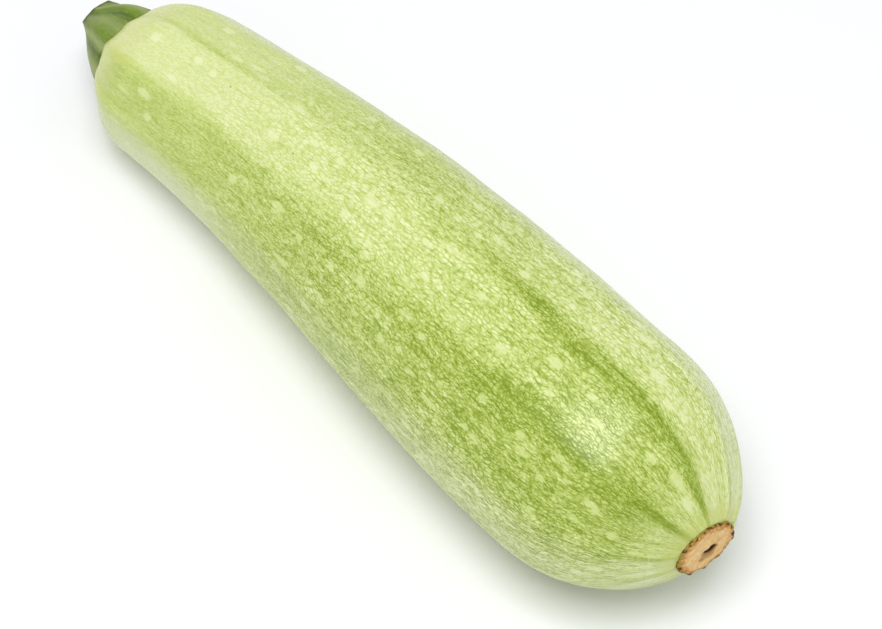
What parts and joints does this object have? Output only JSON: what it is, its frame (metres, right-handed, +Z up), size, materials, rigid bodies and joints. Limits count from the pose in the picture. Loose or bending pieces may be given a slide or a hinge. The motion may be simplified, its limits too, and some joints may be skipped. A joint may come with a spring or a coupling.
{
  "type": "vegetable marrow",
  "caption": "Pale green marrow lying on its side: ribbed, speckled fruit with a cut angled stem and a dried corky blossom scar.",
  "frame": {"origin": "On the resting surface, below the middle of the whole marrow's box", "axes": "+X along the marrow from the stem to the blossom end, +Y across it, +Z up"},
  "size_m": [0.255, 0.069, 0.0681],
  "materials": {
    "fruit_skin": "smooth waxy skin, pale yellow-green with a fine darker net, cream dots and darker rib lines, soft broad gloss",
    "stem_green": "firm green stalk with paler ridges, slightly hairy and matt, fibrous pale cut face",
    "scar_cork": "dry tan cork with a brown rim, dark pit and dark specks, fully matt"
  },
  "bodies": {
    "root": {"fruit": "fruit_skin", "stem": "stem_green", "blossom_scar": "scar_cork"}
  },
  "joints": []
}
